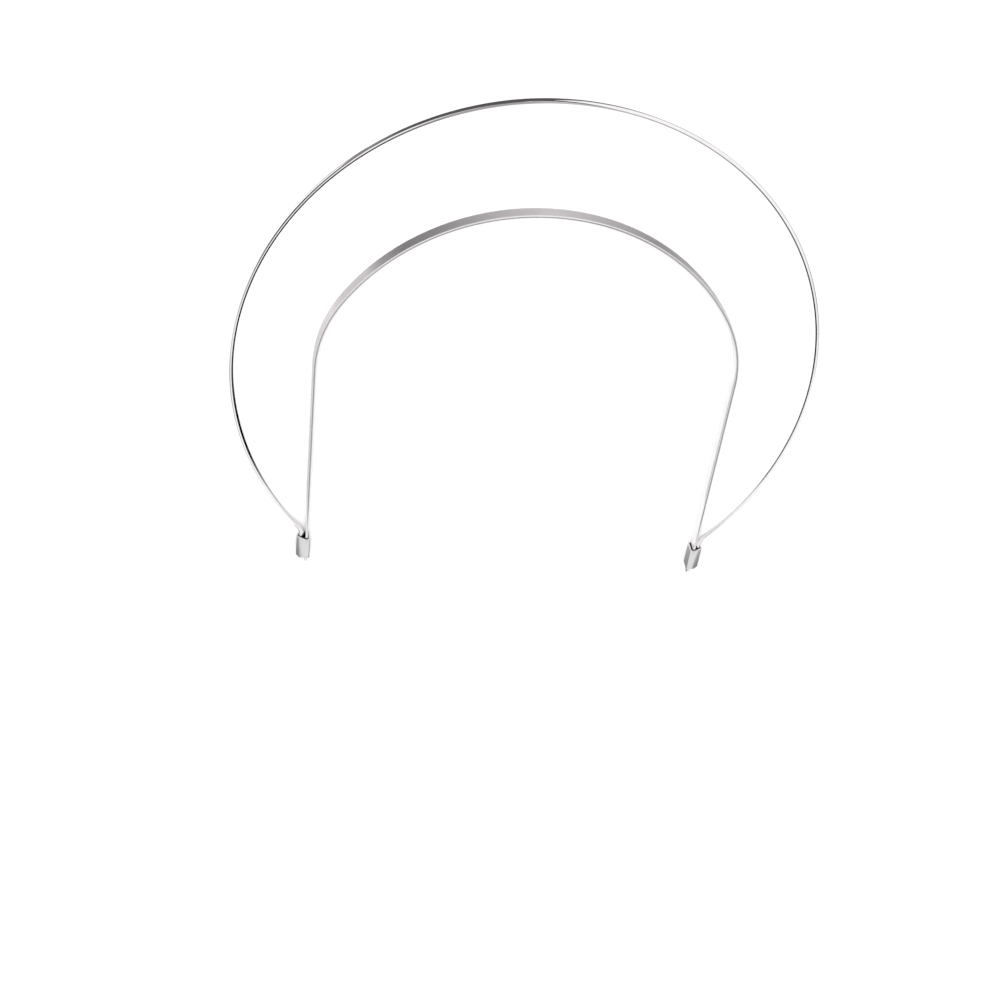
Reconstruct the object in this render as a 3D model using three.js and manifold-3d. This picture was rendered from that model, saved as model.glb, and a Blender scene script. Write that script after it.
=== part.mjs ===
// A halo headband for a costume: a tall C of polished round wire that stands in one plane round a flat
// metal headband. Each end of the wire turns down along a leg of the headband, and a plain sleeve holds
// the two together there.
//
// Millimetres. The object lies on its back: +Z is its front, +Y runs from the legs' tips to the halo's
// top, and +X is to the right for someone who looks at its front. The origin is under the middle of its
// outline, on the surface that it lies on.
import * as THREE from "three";
import { mergeVertices } from "three/addons/utils/BufferGeometryUtils.js";
import Module from "manifold-3d";

const wasm = await Module();
wasm.setup();

// The halo's wire
const HALO_RADIUS = 109; // to the middle of the wire
const WIRE_DIAMETER = 2;
const BEND_RADIUS = 6; // middle of the wire, where it turns down along the leg
const WIRE_TAIL = 1.5; // past the sleeve

// The headband's strip
const STRIP_WIDTH = 6;
const STRIP_THICKNESS = 1;
const CROWN_HEIGHT = 65.4; // from the halo's centre up to the middle of the strip
const CROWN_RADIUS = 84; // middle of the strip, over the crown
const CROWN_HALF_SWEEP = 58; // degrees to each side of the top
const SHOULDER_RADIUS = 50; // middle of the strip, where it turns down to the legs
const LEG_LEAN = 2; // degrees that each leg leans inwards
const TONGUE_TAIL = 3; // past the sleeve

// The sleeves
const SLEEVE_LENGTH = 9;
const SLEEVE_WALL = 0.6;
const SLEEVE_AFTER_BEND = 0.6; // from the end of the wire's bend to the sleeve
const CLEARANCE = 0.3; // between any two pieces

// How finely the round forms are cut
const CROWN_FACETS = 35; // odd, so that one facet lies flat across the top
const SHOULDER_FACETS = 9;
const WIRE_SIDES = 12;
const HALO_STEPS = 116;
const BEND_STEPS = 5;
const TONGUE_END_STEPS = 8;

const radians = THREE.MathUtils.degToRad;
const midHeight = STRIP_WIDTH / 2;
const halfStrip = STRIP_THICKNESS / 2;
const tongueWidth = STRIP_WIDTH - 2 * (SLEEVE_WALL + CLEARANCE);

// The strip's middle line, on the right-hand side
const crownSweep = radians(CROWN_HALF_SWEEP);
const legTurn = radians(90 + LEG_LEAN);
const crownCentre = new THREE.Vector2(0, CROWN_HEIGHT - CROWN_RADIUS);

// The direction that the strip's outer side faces, where it has turned by an angle from the top
const facing = (turn) => new THREE.Vector2(Math.sin(turn), Math.cos(turn));

const shoulderCentre = crownCentre
  .clone()
  .addScaledVector(facing(crownSweep), CROWN_RADIUS - SHOULDER_RADIUS);
const outward = facing(legTurn);
const downLeg = new THREE.Vector2(outward.y, -outward.x);
const legStart = shoulderCentre.clone().addScaledVector(outward, SHOULDER_RADIUS);

// A point of the right-hand leg: how far down from its start, and how far out from its middle
const onLeg = (down, out) =>
  legStart.clone().addScaledVector(downLeg, down).addScaledVector(outward, out);

// The wire lies along the leg, and the bend's circle touches both that line and the halo's circle
const wireOut = halfStrip + CLEARANCE + WIRE_DIAMETER / 2;
const bendFoot = onLeg(0, wireOut + BEND_RADIUS);
const footAlong = bendFoot.dot(downLeg);
const reach = HALO_RADIUS + BEND_RADIUS;
const bendEnd =
  -footAlong + Math.sqrt(footAlong ** 2 + reach ** 2 - bendFoot.lengthSq());
const bendCentre = onLeg(bendEnd, wireOut + BEND_RADIUS);

const sleeveStart = bendEnd + SLEEVE_AFTER_BEND;
const sleeveEnd = sleeveStart + SLEEVE_LENGTH;
const tongueStart = sleeveStart - CLEARANCE;
const tongueEnd = sleeveEnd + TONGUE_TAIL;

// A geometry as a solid that can be joined, and back again
function solidOf(geometry) {
  const bare = geometry.clone();
  bare.deleteAttribute("normal");
  bare.deleteAttribute("uv");
  const merged = mergeVertices(bare, 1e-4);
  return new wasm.Manifold(
    new wasm.Mesh({
      numProp: 3,
      vertProperties: merged.attributes.position.array,
      triVerts: new Uint32Array(merged.index.array),
    }),
  );
}

function geometryOf(solid) {
  const mesh = solid.getMesh();
  const geometry = new THREE.BufferGeometry();
  geometry.setAttribute("position", new THREE.BufferAttribute(mesh.vertProperties, 3));
  geometry.setIndex(new THREE.BufferAttribute(mesh.triVerts, 1));
  geometry.computeVertexNormals();
  return geometry;
}

// Turns a shape drawn in a leg's own directions (out, height) into place and runs it down the leg.
// side is 1 for the right-hand leg and -1 for the left.
function downTheLeg(geometry, side, start) {
  const place = onLeg(start, 0);
  const basis = new THREE.Matrix4().makeBasis(
    new THREE.Vector3(side * outward.x, outward.y, 0),
    new THREE.Vector3(0, 0, side),
    new THREE.Vector3(side * downLeg.x, downLeg.y, 0),
  );
  basis.setPosition(side * place.x, place.y, midHeight);
  return geometry.applyMatrix4(basis);
}

// The headband's strip, seen from the front: stations over the crown and shoulders to the legs
function stripOutline() {
  const stations = [];
  const add = (centre, radius, turn) => stations.push({ centre, radius, turn });
  for (let i = 0; i <= SHOULDER_FACETS; i++) {
    const turn = THREE.MathUtils.lerp(legTurn, crownSweep, i / SHOULDER_FACETS);
    add(new THREE.Vector2(-shoulderCentre.x, shoulderCentre.y), SHOULDER_RADIUS, -turn);
  }
  for (let i = 1; i < CROWN_FACETS; i++) {
    const turn = THREE.MathUtils.lerp(-crownSweep, crownSweep, i / CROWN_FACETS);
    add(crownCentre, CROWN_RADIUS, turn);
  }
  for (let i = 0; i <= SHOULDER_FACETS; i++) {
    const turn = THREE.MathUtils.lerp(crownSweep, legTurn, i / SHOULDER_FACETS);
    add(shoulderCentre, SHOULDER_RADIUS, turn);
  }
  const side = (out) => {
    const rightEnd = onLeg(tongueStart, out);
    const line = stations.map(({ centre, radius, turn }) =>
      centre.clone().addScaledVector(facing(turn), radius + out),
    );
    return [new THREE.Vector2(-rightEnd.x, rightEnd.y), ...line, rightEnd];
  };
  return new THREE.Shape([...side(halfStrip), ...side(-halfStrip).reverse()]);
}

// The narrow tongue at a leg's end, seen from the side: x down the leg, y across the strip
function tongueOutline() {
  const half = tongueWidth / 2;
  const root = tongueStart - STRIP_WIDTH / 2;
  const outline = new THREE.Shape();
  outline.moveTo(root, -half);
  outline.lineTo(tongueEnd - half, -half);
  outline.absarc(tongueEnd - half, 0, half, -Math.PI / 2, Math.PI / 2, false);
  outline.lineTo(root, half);
  outline.closePath();
  return outline;
}

function headband() {
  let solid = solidOf(
    new THREE.ExtrudeGeometry(stripOutline(), { depth: STRIP_WIDTH, bevelEnabled: false }),
  );
  for (const side of [1, -1]) {
    const tongue = new THREE.ExtrudeGeometry(tongueOutline(), {
      depth: STRIP_THICKNESS,
      bevelEnabled: false,
      curveSegments: TONGUE_END_STEPS,
    });
    // From (down the leg, across, thickness) to (out, height, down the leg)
    tongue.translate(0, 0, -halfStrip);
    tongue.applyMatrix4(
      new THREE.Matrix4().makeBasis(
        new THREE.Vector3(0, 0, 1),
        new THREE.Vector3(0, 1, 0),
        new THREE.Vector3(-1, 0, 0),
      ),
    );
    solid = solid.add(solidOf(downTheLeg(tongue, side, 0)));
  }
  return geometryOf(solid);
}

// A flat path of lines and arcs at one height. Its steps are dealt out stretch by stretch, so that a
// tight bend gets as many as it needs.
class WireLine extends THREE.Curve {
  constructor(stretches, height) {
    super();
    this.stretches = stretches;
    this.height = height;
    this.steps = stretches.reduce((sum, stretch) => sum + stretch.steps, 0);
  }

  find(u) {
    let left = u * this.steps;
    for (const { curve, steps } of this.stretches) {
      if (left <= steps) return { curve, at: left / steps };
      left -= steps;
    }
    return { curve: this.stretches.at(-1).curve, at: 1 };
  }

  getPointAt(u, target = new THREE.Vector3()) {
    const { curve, at } = this.find(u);
    const point = curve.getPoint(at);
    return target.set(point.x, point.y, this.height);
  }

  getTangentAt(u, target = new THREE.Vector3()) {
    const { curve, at } = this.find(u);
    const tangent = curve.getTangent(at);
    return target.set(tangent.x, tangent.y, 0);
  }
}

// The halo: up along the left leg, out round the bend, over the top and down the same way
function haloRing() {
  const mirrored = (p) => new THREE.Vector2(-p.x, p.y);
  const wireEnd = onLeg(sleeveEnd + WIRE_TAIL, wireOut);
  const bendFinish = onLeg(bendEnd, wireOut);
  const haloEnd = bendCentre.angle();
  const bendStartAngle = haloEnd + Math.PI;
  const bendEndAngle = Math.PI + outward.angle();
  const arc = (centre, radius, from, to, clockwise = false) =>
    new THREE.ArcCurve(centre.x, centre.y, radius, from, to, clockwise);
  const leftBend = arc(
    mirrored(bendCentre),
    BEND_RADIUS,
    Math.PI - bendEndAngle,
    Math.PI - bendStartAngle,
  );
  const hoop = arc(new THREE.Vector2(), HALO_RADIUS, Math.PI - haloEnd, haloEnd, true);
  const rightBend = arc(bendCentre, BEND_RADIUS, bendStartAngle, bendEndAngle);
  const line = new WireLine(
    [
      { curve: new THREE.LineCurve(mirrored(wireEnd), mirrored(bendFinish)), steps: 2 },
      { curve: leftBend, steps: BEND_STEPS },
      { curve: hoop, steps: HALO_STEPS },
      { curve: rightBend, steps: BEND_STEPS },
      { curve: new THREE.LineCurve(bendFinish, wireEnd), steps: 2 },
    ],
    midHeight,
  );
  const section = new THREE.Shape();
  section.absarc(0, 0, WIRE_DIAMETER / 2, 0, 2 * Math.PI, false);
  return new THREE.ExtrudeGeometry(section, {
    steps: line.steps,
    curveSegments: WIRE_SIDES / 2,
    bevelEnabled: false,
    extrudePath: line,
  });
}

// A sleeve's section: flat behind the tongue and drawn in round the wire, a given distance outside both
function roundBoth(path, outside) {
  const half = tongueWidth / 2 + outside;
  const back = -halfStrip - outside;
  const front = halfStrip + outside;
  const radius = WIRE_DIAMETER / 2 + outside;
  const corner = new THREE.Vector2(front - wireOut, half);
  const touch = corner.angle() - Math.acos(radius / corner.length());
  path.moveTo(back, -half);
  path.lineTo(front, -half);
  path.absarc(wireOut, 0, radius, -touch, touch, false);
  path.lineTo(front, half);
  path.lineTo(back, half);
  path.closePath();
  return path;
}

function ringSleeve(side) {
  const section = roundBoth(new THREE.Shape(), CLEARANCE + SLEEVE_WALL);
  section.holes.push(roundBoth(new THREE.Path(), CLEARANCE));
  const sleeve = new THREE.ExtrudeGeometry(section, {
    depth: SLEEVE_LENGTH,
    bevelEnabled: false,
    curveSegments: WIRE_SIDES / 2,
  });
  return downTheLeg(sleeve, side, sleeveStart);
}

// Finishes
const polishedWire = () =>
  new THREE.MeshStandardMaterial({ color: 0xdfe0e2, metalness: 1, roughness: 0.08 });
const polishedStrip = () =>
  new THREE.MeshStandardMaterial({ color: 0xd8d9db, metalness: 1, roughness: 0.16 });
const satinSleeve = () =>
  new THREE.MeshStandardMaterial({ color: 0xcfd0d2, metalness: 1, roughness: 0.24 });

function piece(name, geometry, material) {
  const mesh = new THREE.Mesh(geometry, material);
  mesh.name = name;
  return mesh;
}

const halo = new THREE.Group();
halo.add(
  piece("headband", headband(), polishedStrip()),
  piece("halo_ring", haloRing(), polishedWire()),
  piece("ring_sleeve_left", ringSleeve(-1), satinSleeve()),
  piece("ring_sleeve_right", ringSleeve(1), satinSleeve()),
);

// The halo's centre is the origin up to here. This brings the middle of the outline there instead.
const top = HALO_RADIUS + WIRE_DIAMETER / 2;
const bottom = Math.min(onLeg(tongueEnd, halfStrip).y, onLeg(tongueEnd, -halfStrip).y);
halo.position.y = -(top + bottom) / 2;

export default halo;
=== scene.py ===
# %% [markdown]
# This lesson dresses a halo headband: a tall open hoop of polished wire that stands round a flat
# metal strip. Two plain sleeves hold the wire to the ends of the strip. All of it is polished metal,
# so there is little colour to paint. What makes polished metal look right is a clean shape with
# rounded edges, a little life in the gloss, and something to reflect.
#
# The solids that the object was built from come in first, as a fixed frame. Each one then gets a finer
# piece in its place, worked out from the frame's own sizes.

# %% Load the frame
import math
from collections import namedtuple

import bmesh
import bpy
from mathutils import Matrix, Vector


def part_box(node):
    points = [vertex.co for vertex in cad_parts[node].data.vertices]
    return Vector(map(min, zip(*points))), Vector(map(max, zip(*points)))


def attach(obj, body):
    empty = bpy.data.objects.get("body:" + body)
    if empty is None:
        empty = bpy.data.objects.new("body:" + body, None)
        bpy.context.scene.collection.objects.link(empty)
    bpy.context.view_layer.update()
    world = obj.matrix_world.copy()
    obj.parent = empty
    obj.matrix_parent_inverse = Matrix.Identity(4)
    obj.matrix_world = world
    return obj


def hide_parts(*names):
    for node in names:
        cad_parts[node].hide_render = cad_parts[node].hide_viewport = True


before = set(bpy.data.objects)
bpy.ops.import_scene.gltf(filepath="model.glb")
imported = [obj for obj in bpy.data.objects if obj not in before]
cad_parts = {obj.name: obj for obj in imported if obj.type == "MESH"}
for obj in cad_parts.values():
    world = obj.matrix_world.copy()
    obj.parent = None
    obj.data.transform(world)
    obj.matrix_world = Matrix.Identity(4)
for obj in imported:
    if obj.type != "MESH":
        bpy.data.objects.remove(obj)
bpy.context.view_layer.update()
print("solids:", ", ".join(sorted(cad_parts)))

# %% [markdown]
# The object lies on its back, so +Z is its front and +Y runs from the legs' tips to the halo's top.
# A few sizes can be read from the frame's boxes. The radii of the strip's bends can't, so they are
# named here, in metres, as the real object has them.

# %% Sizes of the halo and the strip
halo_low, halo_high = (Vector(corner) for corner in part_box("halo_ring"))
strip_low, strip_high = (Vector(corner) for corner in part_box("headband"))

wire_radius = (halo_high.z - halo_low.z) / 2
halo_radius = (halo_high.x - halo_low.x) / 2 - wire_radius
mid_height = (halo_high.z + halo_low.z) / 2
halo_centre = Vector((0, halo_high.y - wire_radius - halo_radius, mid_height))
strip_width = strip_high.z - strip_low.z

QUARTER_TURN = math.radians(90)
STRIP_THICKNESS = 0.001
CROWN_HEIGHT = 0.0654      # from the halo's centre up to the middle of the strip
CROWN_RADIUS = 0.084
CROWN_SWEEP = math.radians(58)
SHOULDER_RADIUS = 0.050
LEG_TURN = math.radians(92)
CLEARANCE = 0.0003         # between any two pieces
print(f"halo: {halo_radius * 2000:.1f} mm across the middle of a {wire_radius * 2000:.1f} mm wire")


# %% [markdown]
# The strip turns in two bends of different radius, and then runs straight down each leg. A bend is
# easiest to place by the direction that its outer side faces: straight up at the crown, and nearly
# sideways at the leg. Every centre and every foot below follows from that direction.

# %% Where the strip's bends and legs lie
def facing(turn):
    """The way that the outer side faces, where the strip has turned by this angle from the crown."""
    return Vector((math.sin(turn), math.cos(turn), 0))


crown_centre = halo_centre + Vector((0, CROWN_HEIGHT - CROWN_RADIUS, 0))
shoulder_centre = crown_centre + facing(CROWN_SWEEP) * (CROWN_RADIUS - SHOULDER_RADIUS)
outward = facing(LEG_TURN)
down_leg = Vector((outward.y, -outward.x, 0))
leg_start = shoulder_centre + outward * SHOULDER_RADIUS


def on_leg(down, out=0.0):
    """A point of the right-hand leg: how far down from its start, and how far out from its middle."""
    return leg_start + down_leg * down + outward * out


print(f"the right leg starts {leg_start.x * 1000:.1f} mm out from the middle")

# %% [markdown]
# The wire leaves the halo in a small bend that turns the other way and ends beside the leg. How far out
# from the leg its centre lies is known. The two bends touch, so that centre is also both radii away
# from the halo's centre. Together they tell how far down the leg the bend ends. The sleeve starts just
# past it, and the strip's tongue and the wire come out a little beyond the sleeve.

# %% Where the wire meets the leg, and where the sleeve sits
BEND_RADIUS = 0.006
SLEEVE_AFTER_BEND = 0.0006
SLEEVE_LENGTH = 0.009
SLEEVE_WALL = 0.0006
TONGUE_TAIL = 0.003        # past the sleeve
WIRE_TAIL = 0.0015         # past the sleeve

wire_out = STRIP_THICKNESS / 2 + CLEARANCE + wire_radius
bend_foot = on_leg(0, wire_out + BEND_RADIUS) - halo_centre
foot_along = bend_foot.dot(down_leg)
bend_reach = halo_radius + BEND_RADIUS
bend_end = math.sqrt(foot_along**2 + bend_reach**2 - bend_foot.length_squared) - foot_along
bend_centre = on_leg(bend_end, wire_out + BEND_RADIUS)

sleeve_start = bend_end + SLEEVE_AFTER_BEND
sleeve_end = sleeve_start + SLEEVE_LENGTH
tongue_end = sleeve_end + TONGUE_TAIL
tongue_width = strip_width - 2 * (SLEEVE_WALL + CLEARANCE)
print(f"the wire's bend ends {bend_end * 1000:.1f} mm down the leg")


# %% [markdown]
# Two helpers carry most of the modelling. `spin_on` swings an open outline round a centre and leaves a
# smooth wall behind it, as a bending jig does. `draw_on` pulls the same outline straight, and can
# squeeze it on the way, which makes necks and round ends. Both give back the new outline, so the next
# step goes on from there. A curve with a bevel could follow the same bends, but it couldn't narrow
# into a tongue or a filed end in the same go.

# %% Helpers that draw an outline along
def edges_in(parts):
    return [part for part in parts if isinstance(part, bmesh.types.BMEdge)]


def corners_in(parts):
    return [part for part in parts if isinstance(part, bmesh.types.BMVert)]


def spin_on(bm, outline, centre, angle, steps):
    """Swings the outline round the centre, clockwise as seen from the front."""
    spun = bmesh.ops.spin(
        bm, geom=outline, cent=centre, axis=(0, 0, -1), angle=angle, steps=steps,
        use_merge=False, use_duplicate=False)
    return edges_in(spun["geom_last"]) + corners_in(spun["geom_last"])


def draw_on(bm, outline, move, middle=None, narrow=1.0, thin=1.0):
    """Pulls the outline straight. About a middle, it may be narrowed in height and thinned outwards."""
    pulled = bmesh.ops.extrude_edge_only(bm, edges=edges_in(outline))["geom"]
    corners = corners_in(pulled)
    bmesh.ops.translate(bm, verts=corners, vec=move)
    if middle is not None:
        leg_axes = Matrix((outward, down_leg, (0, 0, 1))).to_4x4()
        bmesh.ops.scale(
            bm, verts=corners, vec=(thin, 1, narrow), space=leg_axes @ Matrix.Translation(-middle))
    return edges_in(pulled) + corners


print("helpers that draw an outline:", spin_on.__name__, "and", draw_on.__name__)


# %% [markdown]
# Half of the strip and half of the wire are made this way, and a mirror makes the other half and welds
# the two at the crown. Then every piece is closed in the same manner. Points that fall together become
# one, and the faces are turned outwards, because a mirror can leave a shape inside out. Edges that turn
# by more than the sharp angle stay crisp, and all others are shaded round.

# %% Helpers that close a piece
SAME_POINT = 1e-7
MIRROR_WELD = 1e-6
SHARP_ANGLE = math.radians(35)


def mirror_across(bm):
    """Adds the left half and welds it to the right one at the crown."""
    bmesh.ops.mirror(
        bm, geom=bm.verts[:] + bm.edges[:] + bm.faces[:], matrix=Matrix.Identity(4),
        merge_dist=MIRROR_WELD, axis="X")


def finish_piece(bm, name, node):
    """Closes the mesh and turns it into an object that stands for a solid of the frame."""
    bmesh.ops.remove_doubles(bm, verts=bm.verts, dist=SAME_POINT)
    bmesh.ops.recalc_face_normals(bm, faces=bm.faces)
    volume = bm.calc_volume()
    open_edges = sum(not edge.is_manifold for edge in bm.edges)
    mesh = bpy.data.meshes.new(name)
    bm.to_mesh(mesh)
    bm.free()
    mesh.shade_smooth()
    mesh.set_sharp_from_angle(angle=SHARP_ANGLE)
    piece = bpy.data.objects.new(name, mesh)
    bpy.context.scene.collection.objects.link(piece)
    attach(piece, "root")
    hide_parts(node)
    print(f"{name}: {len(mesh.polygons)} faces, {volume * 1e9:.0f} cubic mm, {open_edges} open edges")
    return piece


print(f"edges stay crisp from {math.degrees(SHARP_ANGLE):.0f} degrees up")


# %% [markdown]
# The real strip is stamped from sheet metal and tumbled, so its long edges are softly rounded. Those
# edges matter more than the flats: each one catches a thin line of light. The section is an oblong
# whose four corners are bevelled, and then only its outline is kept and drawn along. Rounding the four
# corners once is easier than rounding every long edge of a finished strip.

# %% Model the headband's strip
EDGE_ROUND = 0.00028
EDGE_SEGMENTS = 5
CROWN_STEPS = 48           # these two count one half of the strip
SHOULDER_STEPS = 22
NECK_STEPS = 5
TIP_STEPS = 9
TIP_SWEEP = math.radians(84)       # short of a quarter turn, so the tip ends in a small flat


def strip_section(bm):
    """The outline across the strip at the crown."""
    middle = crown_centre + Vector((0, CROWN_RADIUS, 0))
    across = Matrix(((0, 0, 1, 0), (0, STRIP_THICKNESS, 0, 0), (strip_width, 0, 0, 0), (0, 0, 0, 1)))
    bmesh.ops.create_grid(
        bm, x_segments=1, y_segments=1, size=0.5, matrix=Matrix.Translation(middle) @ across)
    bmesh.ops.bevel(
        bm, geom=bm.verts[:], offset=EDGE_ROUND, affect="VERTICES", segments=EDGE_SEGMENTS,
        profile=0.5, material=-1)
    bmesh.ops.delete(bm, geom=bm.faces[:], context="FACES_ONLY")
    return bm.edges[:] + bm.verts[:]


def tongue_rows():
    """How far down the leg each narrower place lies, and how wide the strip is there."""
    neck_radius = (strip_width - tongue_width) / 2
    neck_start = sleeve_start - CLEARANCE - neck_radius
    round_start = tongue_end - tongue_width / 2
    rows = [(neck_start, strip_width)]
    for step in range(1, NECK_STEPS + 1):
        angle = QUARTER_TURN * step / NECK_STEPS
        rows.append((neck_start + neck_radius * math.sin(angle),
                     tongue_width + 2 * neck_radius * math.cos(angle)))
    rows.append((round_start, tongue_width))
    for step in range(1, TIP_STEPS + 1):
        angle = TIP_SWEEP * step / TIP_STEPS
        rows.append((round_start + tongue_width / 2 * math.sin(angle), tongue_width * math.cos(angle)))
    return rows


def tongue(bm, outline):
    """Narrows the leg to the tongue that goes through the sleeve, and rounds its tip."""
    rows = tongue_rows()
    at, width = rows[0]
    outline = draw_on(bm, outline, down_leg * at)
    for down, new_width in rows[1:]:
        outline = draw_on(
            bm, outline, down_leg * (down - at), middle=on_leg(down), narrow=new_width / width)
        at, width = down, new_width
    return outline


def model_strip():
    bm = bmesh.new()
    outline = strip_section(bm)
    outline = spin_on(bm, outline, crown_centre, CROWN_SWEEP, CROWN_STEPS)
    outline = spin_on(bm, outline, shoulder_centre, LEG_TURN - CROWN_SWEEP, SHOULDER_STEPS)
    outline = tongue(bm, outline)
    bmesh.ops.contextual_create(bm, geom=edges_in(outline))
    mirror_across(bm)
    return finish_piece(bm, "headband_strip", "headband")


strip = model_strip()

# %% [markdown]
# The halo is one length of hard drawn wire. It is round all the way, so the section is a circle. From
# the top it swings round the halo's centre, then the other way round the small bend, and then runs
# down the leg. A torus would give the hoop, but not the two ends. A cut wire end is filed so that it
# doesn't catch, which two short squeezed steps give.

# %% Model the halo's wire
WIRE_SIDES = 28
HALO_STEPS = 120           # in one half of the halo
BEND_STEPS = 12
FILED_STEPS = ((0.00022, 0.93), (0.00018, 0.80))     # how long each is, and how far it squeezes


def model_wire():
    bm = bmesh.new()
    top = Matrix.Translation(halo_centre + Vector((0, halo_radius, 0)))
    facing_along = Matrix.Rotation(QUARTER_TURN, 4, "Y")
    bmesh.ops.create_circle(
        bm, cap_ends=False, segments=WIRE_SIDES, radius=wire_radius, matrix=top @ facing_along)
    outline = bm.edges[:] + bm.verts[:]
    to_bend = bend_centre - halo_centre
    half_sweep = QUARTER_TURN - math.atan2(to_bend.y, to_bend.x)
    outline = spin_on(bm, outline, halo_centre, half_sweep, HALO_STEPS)
    outline = spin_on(bm, outline, bend_centre, LEG_TURN - half_sweep, BEND_STEPS)
    straight = sleeve_end + WIRE_TAIL - bend_end - sum(length for length, _ in FILED_STEPS)
    outline = draw_on(bm, outline, down_leg * straight)
    for length, squeeze in FILED_STEPS:
        straight += length
        middle = on_leg(bend_end + straight, wire_out)
        outline = draw_on(bm, outline, down_leg * length, middle, squeeze, squeeze)
    bmesh.ops.contextual_create(bm, geom=edges_in(outline))
    mirror_across(bm)
    return finish_piece(bm, "halo_wire", "halo_ring")


wire = model_wire()

# %% [markdown]
# Each sleeve is a short tube pressed over the strip's tongue and the wire together, so its section is
# the tightest smooth line round both. That line is what a convex hull gives: five small rods are
# stood where its round corners are, and the hull wraps them. An inset of both ends leaves the wall,
# and a bridge between the two insets opens the tube.

# %% Model the sleeves
SIDES = (("left", -1), ("right", 1))
ROD_SIDES = 24
MOUTH_ROUND = 0.00012
MOUTH_SEGMENTS = 3
FLAT_WITHIN = math.radians(1)
RIM_FROM = math.radians(80)
SQUARE_FROM = 0.99         # the cosine between an end's normal and the leg


def wrap_round_both(bm, outside):
    """A solid round the tongue and the wire, a distance outside both, along the sleeve's length."""
    centre = (sleeve_start + sleeve_end) / 2
    along_leg = down_leg.to_track_quat("Z", "Y").to_matrix().to_4x4()
    rods = [(wire_out, 0, wire_radius + outside)]
    for out in (-STRIP_THICKNESS / 2, STRIP_THICKNESS / 2):
        for height in (-tongue_width / 2, tongue_width / 2):
            rods.append((out, height, outside))
    for out, height, radius in rods:
        place = on_leg(centre, out) + Vector((0, 0, height))
        bmesh.ops.create_cone(
            bm, cap_ends=True, segments=ROD_SIDES, radius1=radius, radius2=radius,
            depth=SLEEVE_LENGTH, matrix=Matrix.Translation(place) @ along_leg)
    hull = bmesh.ops.convex_hull(bm, input=bm.verts[:], use_existing_faces=False)
    kept = set(hull["geom"])
    inside = [v for v in bm.verts if v not in kept]
    bmesh.ops.delete(bm, geom=inside, context="VERTS")
    rest = [f for f in bm.faces if f not in kept]
    bmesh.ops.delete(bm, geom=rest, context="FACES")
    bmesh.ops.dissolve_limit(bm, angle_limit=FLAT_WITHIN, verts=bm.verts[:], edges=bm.edges[:])


def model_sleeve(side_name, side):
    bm = bmesh.new()
    wrap_round_both(bm, CLEARANCE + SLEEVE_WALL)
    ends = [f for f in bm.faces if abs(f.normal.dot(down_leg)) > SQUARE_FROM]
    bmesh.ops.inset_individual(bm, faces=ends, thickness=SLEEVE_WALL, use_even_offset=True)
    mouths = [edge for face in ends for edge in face.edges]
    bmesh.ops.delete(bm, geom=ends, context="FACES_ONLY")
    bmesh.ops.bridge_loops(bm, edges=mouths)
    rims = [e for e in bm.edges if e.is_manifold and e.calc_face_angle() > RIM_FROM]
    bmesh.ops.bevel(
        bm, geom=rims, offset=MOUTH_ROUND, affect="EDGES", segments=MOUTH_SEGMENTS, profile=0.5,
        material=-1)
    if side < 0:
        bmesh.ops.scale(bm, verts=bm.verts[:], vec=(-1, 1, 1))
    return finish_piece(bm, f"sleeve_{side_name}", f"ring_sleeve_{side_name}")


sleeves = [model_sleeve(side_name, side) for side_name, side in SIDES]

# %% [markdown]
# Polished metal is a mirror with small faults. Drawing and buffing leave hair-fine lines along the
# metal, and handling leaves faint smears, so the gloss is never the same all over. The lines have to
# follow the piece. Each vertex therefore stores how far along and how far across the piece it lies,
# and the finish reads those values as one attribute, which bends with the metal. A UV map could hold
# two of the three, but not the height as well.

# %% Store how far along and across each point lies
def station(point):
    """How far down the strip from the crown a point of the right half lies, and how far out."""
    flat = Vector((abs(point.x), point.y, 0))
    from_crown = flat - Vector((0, crown_centre.y, 0))
    turn = math.atan2(from_crown.x, from_crown.y)
    if turn <= CROWN_SWEEP:
        return turn * CROWN_RADIUS, from_crown.length - CROWN_RADIUS
    from_shoulder = flat - Vector((shoulder_centre.x, shoulder_centre.y, 0))
    turn = math.atan2(from_shoulder.x, from_shoulder.y)
    crown_length = CROWN_SWEEP * CROWN_RADIUS
    if turn <= LEG_TURN:
        along = crown_length + (turn - CROWN_SWEEP) * SHOULDER_RADIUS
        return along, from_shoulder.length - SHOULDER_RADIUS
    from_leg = flat - Vector((leg_start.x, leg_start.y, 0))
    bends = crown_length + (LEG_TURN - CROWN_SWEEP) * SHOULDER_RADIUS
    return bends + from_leg.dot(down_leg), from_leg.dot(outward)


def round_halo(point):
    """How far along the halo from its top a point lies, and how far out from the middle of the wire."""
    from_centre = Vector((abs(point.x), point.y - halo_centre.y, 0))
    return math.atan2(from_centre.x, from_centre.y) * halo_radius, from_centre.length - halo_radius


def store_grain(piece, measure):
    """Writes the place of every vertex along, outwards and in height, as the metal runs."""
    grain = piece.data.attributes.new("grain", "FLOAT_VECTOR", "POINT")
    for vertex, value in zip(piece.data.vertices, grain.data):
        along, out = measure(vertex.co)
        side = 1 if vertex.co.x >= 0 else -1
        value.vector = (side * along, out, vertex.co.z - mid_height)
    reach = max(abs(value.vector.x) for value in grain.data)
    print(f"{piece.name}: its grain ends {reach * 1000:.0f} mm from the crown")


store_grain(wire, round_halo)
for piece in [strip, *sleeves]:
    store_grain(piece, station)


# %% [markdown]
# Two noises stand for the faults. One is stretched a hundred times along the grain and gives the drawn
# lines. The other has no direction and gives the smears. A picture of scratches could do it too, but
# noise needs no picture and has no seam. Noise keeps near the middle of its range, so a helper spreads
# the part that it uses over the values that are wanted.

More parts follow.
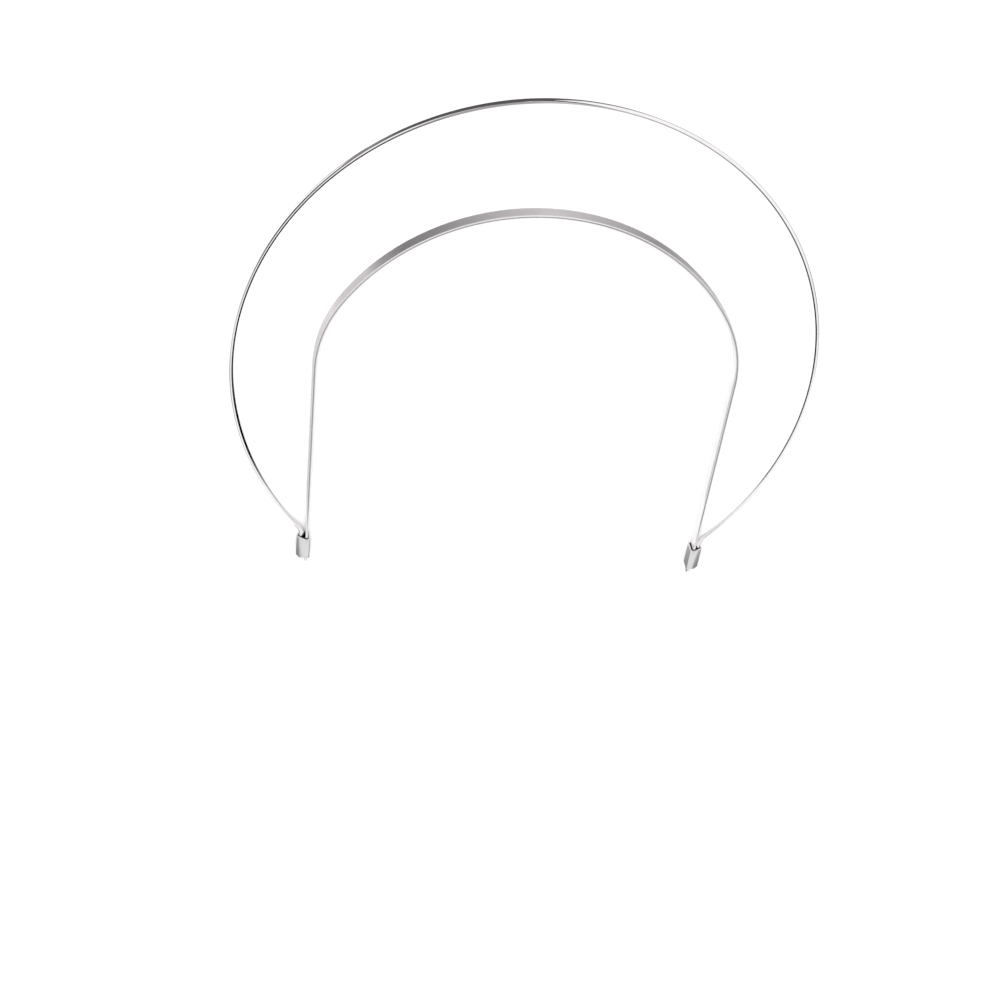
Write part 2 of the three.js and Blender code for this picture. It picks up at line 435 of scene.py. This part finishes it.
# %% Make the noises for lines and smears
GRAIN_STRETCH = (35, 3500, 3500)
NOISE_LOW = 0.3
NOISE_HIGH = 0.7


def add(nodes, kind, **inputs):
    """Adds a shader node and sets its plain inputs."""
    node = nodes.new(kind)
    for name, value in inputs.items():
        node.inputs[name.replace("_", " ")].default_value = value
    return node


def drawn_lines(material):
    """Noise that runs along the grain."""
    nodes, links = material.node_tree.nodes, material.node_tree.links
    grain = nodes.new("ShaderNodeAttribute")
    grain.attribute_name = "grain"
    along_grain = add(nodes, "ShaderNodeMapping", Scale=GRAIN_STRETCH)
    links.new(grain.outputs["Vector"], along_grain.inputs["Vector"])
    noise = add(nodes, "ShaderNodeTexNoise", Scale=1.0, Detail=4.0, Roughness=0.6)
    links.new(along_grain.outputs["Vector"], noise.inputs["Vector"])
    return noise.outputs["Fac"]


def handling_smears(material):
    """Noise that has no direction."""
    nodes, links = material.node_tree.nodes, material.node_tree.links
    place = nodes.new("ShaderNodeTexCoord")
    noise = add(nodes, "ShaderNodeTexNoise", Scale=120.0, Detail=5.0, Roughness=0.55, Distortion=0.4)
    links.new(place.outputs["Object"], noise.inputs["Vector"])
    return noise.outputs["Fac"]


def spread(material, noise, low, high):
    """Turns the part of a noise that is used into a value from low to high."""
    node = add(material.node_tree.nodes, "ShaderNodeMapRange", To_Min=low, To_Max=high)
    node.inputs["From Min"].default_value = NOISE_LOW
    node.inputs["From Max"].default_value = NOISE_HIGH
    material.node_tree.links.new(noise, node.inputs["Value"])
    return node.outputs["Result"]


print("drawn lines are stretched", round(GRAIN_STRETCH[1] / GRAIN_STRETCH[0]), "times along the grain")


# %% [markdown]
# One finish serves all three metals, with other values for each. The wire is buffed to a mirror, the
# strip is a little softer, and the sleeves are satin. Lines and smears both act on the roughness and
# on the colour, and the lines also lift the surface by some thousandths of a millimetre.

# %% Make the metal finishes
LINES_TO_SMEAR = 0.6       # how much the lines add to the roughness, beside a smear
SMEAR_IN_TINT = 0.55
LINES_IN_TINT = 0.45
FAULTY_TINT = 0.88         # what is left of the colour at the strongest fault
RELIEF = 0.25

Metal = namedtuple("Metal", "pieces colour gloss smear line_depth")
METALS = {
    "polished_wire": Metal([wire], (0.98, 0.965, 0.97), 0.03, 0.025, 0.000002),
    "polished_strip": Metal([strip], (0.89, 0.877, 0.88), 0.09, 0.08, 0.000012),
    "satin_sleeve": Metal(sleeves, (0.78, 0.773, 0.776), 0.22, 0.08, 0.00001),
}


def polished_metal(name, metal):
    """A finish. The gloss is its roughness between smears, and smear is what a smear adds to it."""
    material = bpy.data.materials.new(name)
    material.use_nodes = True
    nodes, links = material.node_tree.nodes, material.node_tree.links
    shader = nodes["Principled BSDF"]
    shader.inputs["Metallic"].default_value = 1.0
    lines = drawn_lines(material)
    smears = handling_smears(material)

    def faults(low, high, by_lines):
        """Smears spread from low to high, with the lines added on top."""
        both = nodes.new("ShaderNodeMath")
        both.operation = "ADD"
        links.new(spread(material, smears, low, high), both.inputs[0])
        links.new(spread(material, lines, 0.0, by_lines), both.inputs[1])
        return both.outputs["Value"]

    roughness = faults(metal.gloss, metal.gloss + metal.smear, metal.smear * LINES_TO_SMEAR)
    links.new(roughness, shader.inputs["Roughness"])
    tint = nodes.new("ShaderNodeMix")
    tint.data_type = "RGBA"
    tint.inputs["A"].default_value = (*metal.colour, 1)
    tint.inputs["B"].default_value = (*(channel * FAULTY_TINT for channel in metal.colour), 1)
    links.new(faults(0.0, SMEAR_IN_TINT, LINES_IN_TINT), tint.inputs["Factor"])
    links.new(tint.outputs["Result"], shader.inputs["Base Color"])

    relief = add(nodes, "ShaderNodeBump", Strength=RELIEF, Distance=metal.line_depth)
    links.new(lines, relief.inputs["Height"])
    links.new(relief.outputs["Normal"], shader.inputs["Normal"])
    return material


for slot, metal in METALS.items():
    finish = polished_metal(slot, metal)
    for piece in metal.pieces:
        piece.data.materials.append(finish)
    print(f"{slot}: roughness from {metal.gloss}, on", ", ".join(piece.name for piece in metal.pieces))

# %% [markdown]
# The camera looks at the object from the angle of the photograph. It stands above the floor, beyond
# the halo's top, and is rolled so that the halo's top is up in the picture. Its place was worked out
# from the halo's outline, an ellipse 590 by 496 pixels in a picture of 1000, for an 85 mm lens.

# %% Set the camera
CAMERA_FROM_HALO = Vector((-0.14774, 0.45598, 0.73195))
LOOKS_AT_FROM_HALO = Vector((-0.00311, -0.05951, 0))
CAMERA_ROLL = math.radians(8.29)
LENS = 85
SENSOR_WIDTH = 36
NEAREST = 0.01


def set_camera():
    camera_data = bpy.data.cameras.new("camera")
    camera_data.lens = LENS
    camera_data.sensor_width = SENSOR_WIDTH
    camera_data.clip_start = NEAREST
    camera = bpy.data.objects.new("camera", camera_data)
    bpy.context.scene.collection.objects.link(camera)
    back = (CAMERA_FROM_HALO - LOOKS_AT_FROM_HALO).normalized()
    level = Vector((0, 1, 0)).cross(back).normalized()
    upright = back.cross(level)
    right = level * math.cos(CAMERA_ROLL) + upright * math.sin(CAMERA_ROLL)
    up = back.cross(right)
    turn = Matrix((right, up, back)).transposed().to_4x4()
    camera.matrix_world = Matrix.Translation(halo_centre + CAMERA_FROM_HALO) @ turn
    bpy.context.scene.camera = camera
    return camera


camera = set_camera()
print("camera is", round(camera.location.z, 3), "m above the floor")

# %% [markdown]
# A mirror shows its surroundings, so the studio is half of this finish. The floor and the air round it
# are near white, as in the photograph. On white, polished wire would almost vanish, and photographers
# bring its outline back with dark cards that they call flags. Here the flags are narrow bands, curled
# round the wire and the strip like an open tube, a few millimetres off. Each band widens, narrows and
# changes its grey on the way, so that the dark lines in the metal swell and fade as they do in the
# photograph. Only reflections see the flags: they cast no shadow, and the camera doesn't see them.
# They glow with a set grey rather than take light, so the lines and greys that they leave in the metal
# are painted reflections.

# %% Build the floor and the light of the room
FLOOR_SIZE = 12.0
ROOM_LIGHT = 1.0


def matte(name, colour):
    """A finish with no gloss."""
    material = bpy.data.materials.new(name)
    material.use_nodes = True
    shader = material.node_tree.nodes["Principled BSDF"]
    shader.inputs["Base Color"].default_value = (*colour, 1)
    shader.inputs["Roughness"].default_value = 1.0
    shader.inputs["Specular IOR Level"].default_value = 0.0
    return material


def put_in_studio(name, bm, material):
    """Adds a mesh that belongs to the studio and not to the object."""
    mesh = bpy.data.meshes.new(name)
    bm.to_mesh(mesh)
    bm.free()
    mesh.materials.append(material)
    thing = bpy.data.objects.new(name, mesh)
    bpy.context.scene.collection.objects.link(thing)
    return thing


def lay_floor():
    bm = bmesh.new()
    bmesh.ops.create_grid(bm, x_segments=1, y_segments=1, size=FLOOR_SIZE / 2)
    return put_in_studio("floor", bm, matte("pale_floor", (0.95, 0.95, 0.95)))


def fill_room_with_light():
    world = bpy.data.worlds.new("studio")
    bpy.context.scene.world = world
    world.use_nodes = True
    air = world.node_tree.nodes["Background"]
    air.inputs["Color"].default_value = (1, 1, 1, 1)
    air.inputs["Strength"].default_value = ROOM_LIGHT


floor = lay_floor()
fill_room_with_light()
print("floor:", round(floor.dimensions.x, 1), "m square, at height", round(floor.location.z, 3))

# %% [markdown]
# Each flag has a small table. A row gives a place along the metal, the two angles between which the
# band stands there, and its grey from 0 to 1. An angle of 0 is level outwards from the metal, 90 is
# straight up, and 180 is level inwards. Places on the halo are in degrees, 0 at the right and 90 at the
# top. The wire is a mirror all the way round, and shows a dark line for each flag. So one flag stands
# inside the halo and one outside it, and two short ones add the lines near the top and the upper left.
# Towards both ends of the wire the flags turn pale and thin, so that no line stops short.

# %% Write down where the wire's flags stand
# The grey of a row is the flag's glow there, which the wire shows as a painted reflection.
Row = namedtuple("Row", "place low high grey")

INSIDE_WIRE = [
    Row(-34, 155, 170, 0.80), Row(-25, 130, 190, 0.20), Row(10, 120, 190, 0.00),
    Row(25, 125, 190, 0.05), Row(45, 130, 200, 0.15), Row(60, 135, 210, 0.40),
    Row(80, 125, 205, 0.50), Row(90, 115, 205, 0.55), Row(97, 80, 205, 0.40),
    Row(110, 85, 205, 0.40), Row(120, 105, 185, 0.15), Row(130, 110, 180, 0.00),
    Row(150, 115, 190, 0.00), Row(175, 107, 180, 0.00), Row(185, 103, 185, 0.05),
    Row(195, 110, 235, 0.00), Row(205, 112, 235, 0.00), Row(219, 150, 195, 0.70),
]
OUTSIDE_WIRE = [
    Row(0, 35, 65, 0.75), Row(20, 20, 65, 0.40), Row(30, -5, 40, 0.60),
    Row(55, -15, 20, 0.70), Row(72, -20, 20, 0.55), Row(78, -30, 20, 0.30),
    Row(88, -40, 20, 0.10), Row(97, -60, 85, 0.10), Row(110, -65, 75, 0.10),
    Row(120, -65, 60, 0.10), Row(130, -45, 65, 0.30), Row(135, 35, 75, 0.15),
    Row(145, 30, 80, 0.05), Row(155, 35, 80, 0.05), Row(165, 45, 75, 0.25),
    Row(175, 25, 70, 0.75), Row(185, 15, 60, 0.50), Row(200, 25, 60, 0.60),
    Row(212, 30, 65, 0.85),
]
RIM_OF_WIRE = [
    Row(128, -65, -45, 0.20), Row(135, -75, 0, 0.60), Row(155, -75, -40, 0.80),
]
OVER_WIRE = [
    Row(75, 150, 170, 0.60), Row(82, 110, 135, 0.35), Row(88, 75, 110, 0.10),
    Row(97, 25, 75, 0.10),
]
for name, rows in (("inside", INSIDE_WIRE), ("outside", OUTSIDE_WIRE)):
    print(f"the flag {name} the wire runs from {rows[0].place} to {rows[-1].place} degrees")

# %% [markdown]
# The strip is flat, so a narrow flag would show in it as a stripe with hard edges. Its flags are wide
# instead, and it is mostly their grey that changes along the metal. One gives the outer face its grey.
# One stands over the front edge and draws a line along it. The third stands low inside, so that the
# inner face doesn't melt into the pale floor. Places on the strip are its turn from the crown in
# degrees, below zero on the left, and past the bends each further degree is one millimetre down the
# leg. A sleeve has two flags, written once for the right-hand side.

# %% Write down where the strip's and the sleeves' flags stand
# The grey of a row is the flag's glow there, which the strip or a sleeve shows as a painted reflection.
OUTSIDE_STRIP = [
    Row(-166, -50, -20, 0.90), Row(-150, -79, 8, 0.60), Row(-92, -79, 8, 0.70),
    Row(-65, -79, 8, 0.85), Row(-57, -79, 8, 0.70), Row(-49, -79, 8, 0.70),
    Row(-45, -79, 8, 0.40), Row(-37, -79, 8, 0.25), Row(-28, -79, 8, 0.30),
    Row(0, -79, 8, 0.70), Row(30, -79, 8, 0.35), Row(60, -79, 8, 0.65),
    Row(92, -79, 8, 0.70), Row(150, -79, 8, 0.60), Row(166, -50, -20, 0.90),
]
OVER_STRIP = [
    Row(-174, 92, 102, 0.90), Row(-160, 82, 115, 0.40), Row(-92, 85, 120, 0.40),
    Row(-45, 100, 140, 0.50), Row(0, 108, 145, 0.35), Row(45, 85, 135, 0.50),
    Row(92, 60, 100, 0.40), Row(160, 60, 95, 0.40), Row(174, 72, 82, 0.90),
]
INSIDE_STRIP = [
    Row(-174, 200, 225, 0.90), Row(-145, 170, 255, 0.65), Row(-92, 170, 255, 0.60),
    Row(-40, 170, 255, 0.45), Row(0, 170, 255, 0.65), Row(40, 170, 255, 0.45),
    Row(92, 170, 255, 0.60), Row(145, 170, 255, 0.65), Row(174, 200, 225, 0.90),
]
BESIDE_SLEEVE = [
    Row(170, 150, 263, 0.55), Row(180, 150, 263, 0.35), Row(200, 150, 263, 0.35),
]
ROUND_SLEEVE = [
    Row(170, -60, 25, 0.50), Row(180, -60, 30, 0.30), Row(200, -60, 30, 0.30),
]
for name, rows in (("outside", OUTSIDE_STRIP), ("over", OVER_STRIP), ("inside", INSIDE_STRIP)):
    print(f"the flag {name} the strip has {len(rows)} rows")


# %% [markdown]
# A flag is made as a flat grid and then curled: each corner of the grid finds its place along the
# metal, its angle round the metal and its grey in the table. Two functions follow the metal, one round
# the halo and one down the strip, and give its middle and the way outwards at any place.

# %% Follow the metal and read the tables
LAST_BEND = math.degrees(LEG_TURN)
METRES_A_DEGREE = 0.001    # down the leg, past the last bend


def along_halo(degrees):
    """The middle of the wire at this place, and the direction outwards from it."""
    turn = math.radians(degrees)
    out = Vector((math.cos(turn), math.sin(turn), 0))
    return halo_centre + out * halo_radius, out


def along_strip(degrees):
    """The middle of the strip at this place, and the direction outwards from it."""
    turn = math.radians(min(abs(degrees), LAST_BEND))
    out = facing(turn)
    if turn < CROWN_SWEEP:
        middle = crown_centre + out * CROWN_RADIUS
    else:
        middle = shoulder_centre + out * SHOULDER_RADIUS
    middle = middle + down_leg * max(abs(degrees) - LAST_BEND, 0) * METRES_A_DEGREE
    side = Vector((-1 if degrees < 0 else 1, 1, 1))
    return middle * side, out * side


def between(rows, place):
    """The row of a table at this place, worked out from the rows on either side."""
    for before, after in zip(rows, rows[1:]):
        if place <= after.place:
            share = (place - before.place) / (after.place - before.place)
            return Row(*(a + (b - a) * share for a, b in zip(before, after)))
    return rows[-1]


print("half-way between the first two rows inside the wire:", between(INSIDE_WIRE, -29.5))


# %% [markdown]
# Each flag glows with the grey of its table, and the metal shows that glow as a painted reflection. A
# flag that only took the room's light would turn darker wherever it faces away from the light. The grey
# is a little warm, as the dark lines on the metal are in the photograph. The flags hang close to the
# metal. A far card would be seen by every stretch of it at once, while a close one is seen mostly by
# the metal beside it, and each row can act for itself.

# %% Hang the flags
BAND_STEP = 3              # degrees from one fold across the band to the next
BAND_FOLDS = 10
FLAG_GLOW_TINT = (1.0, 0.965, 0.975, 1)
LOWEST = 0.0002            # above the floor
FROM_WIRE = 0.005
OVER_WIRE_FROM = 0.0045    # nearer than the flag that it crosses, which it covers there
OUTSIDE_STRIP_FROM = 0.0031
FROM_STRIP = 0.010
FROM_SLEEVE = 0.0075


def hang_flag(name, metal, gap, rows, glow):
    """Curls a band round the metal at this gap from its middle."""
    start, length = rows[0].place, rows[-1].place - rows[0].place
    steps = round(length / BAND_STEP)
    bm = bmesh.new()
    grey = bm.verts.layers.float.new("grey")
    bmesh.ops.create_grid(bm, x_segments=steps, y_segments=BAND_FOLDS, size=0.5)
    for corner in bm.verts:
        row = between(rows, start + (corner.co.x + 0.5) * length)
        angle = math.radians(row.low + (corner.co.y + 0.5) * (row.high - row.low))
        middle, out = metal(row.place)
        corner.co = middle + out * gap * math.cos(angle)
        corner.co.z = max(mid_height + gap * math.sin(angle), LOWEST)
        corner[grey] = row.grey
    flag = put_in_studio(name, bm, glow)
    flag.visible_camera = False
    flag.visible_diffuse = False
    flag.visible_shadow = False
    print(f"{name}: {len(flag.data.polygons)} faces")


def make_flag_glow():
    """A glow that shows its own grey whatever light falls on it, which the metal shows as a painted
    reflection.
    """
    glow = matte("flag_glow", (0, 0, 0))
    nodes, links = glow.node_tree.nodes, glow.node_tree.links
    grey = nodes.new("ShaderNodeAttribute")
    grey.attribute_name = "grey"
    links.new(grey.outputs["Fac"], nodes["Principled BSDF"].inputs["Emission Strength"])
    nodes["Principled BSDF"].inputs["Emission Color"].default_value = FLAG_GLOW_TINT
    glow.cycles.emission_sampling = "NONE"
    return glow


flag_glow = make_flag_glow()
hang_flag("flag_inside_wire", along_halo, FROM_WIRE, INSIDE_WIRE, flag_glow)
hang_flag("flag_outside_wire", along_halo, FROM_WIRE, OUTSIDE_WIRE, flag_glow)
hang_flag("flag_at_rim_of_wire", along_halo, FROM_WIRE, RIM_OF_WIRE, flag_glow)
hang_flag("flag_over_wire", along_halo, OVER_WIRE_FROM, OVER_WIRE, flag_glow)
hang_flag("flag_outside_strip", along_strip, OUTSIDE_STRIP_FROM, OUTSIDE_STRIP, flag_glow)
hang_flag("flag_over_strip", along_strip, FROM_STRIP, OVER_STRIP, flag_glow)
hang_flag("flag_inside_strip", along_strip, FROM_STRIP, INSIDE_STRIP, flag_glow)
for side_name, side in SIDES:
    for name, rows in (("beside", BESIDE_SLEEVE), ("round", ROUND_SLEEVE)):
        rows = sorted(row._replace(place=side * row.place) for row in rows)
        hang_flag(f"flag_{name}_{side_name}_sleeve", along_strip, FROM_SLEEVE, rows, flag_glow)

# %% [markdown]
# One broad soft lamp keeps the floor even. It stands behind the camera, so that what little shadow the
# thin wire throws falls where the wire itself hides it.

# %% Set the light
LAMP_DISTANCE = 1.6
LAMP_SIZE = 0.7
LAMP_POWER = 12


def soft_lamp(name, place):
    data = bpy.data.lights.new(name, "AREA")
    data.shape = "DISK"
    data.size = LAMP_SIZE
    data.energy = LAMP_POWER
    lamp = bpy.data.objects.new(name, data)
    bpy.context.scene.collection.objects.link(lamp)
    turn = place.to_track_quat("Z", "Y").to_matrix().to_4x4()
    lamp.matrix_world = Matrix.Translation(place) @ turn
    lamp.visible_glossy = False
    return lamp


soft_lamp("camera_lamp", (camera.location - halo_centre).normalized() * LAMP_DISTANCE)
bpy.context.scene.view_settings.view_transform = "Standard"
bpy.context.scene.view_settings.look = "None"
print("one lamp,", LAMP_DISTANCE, "m from the floor's middle")
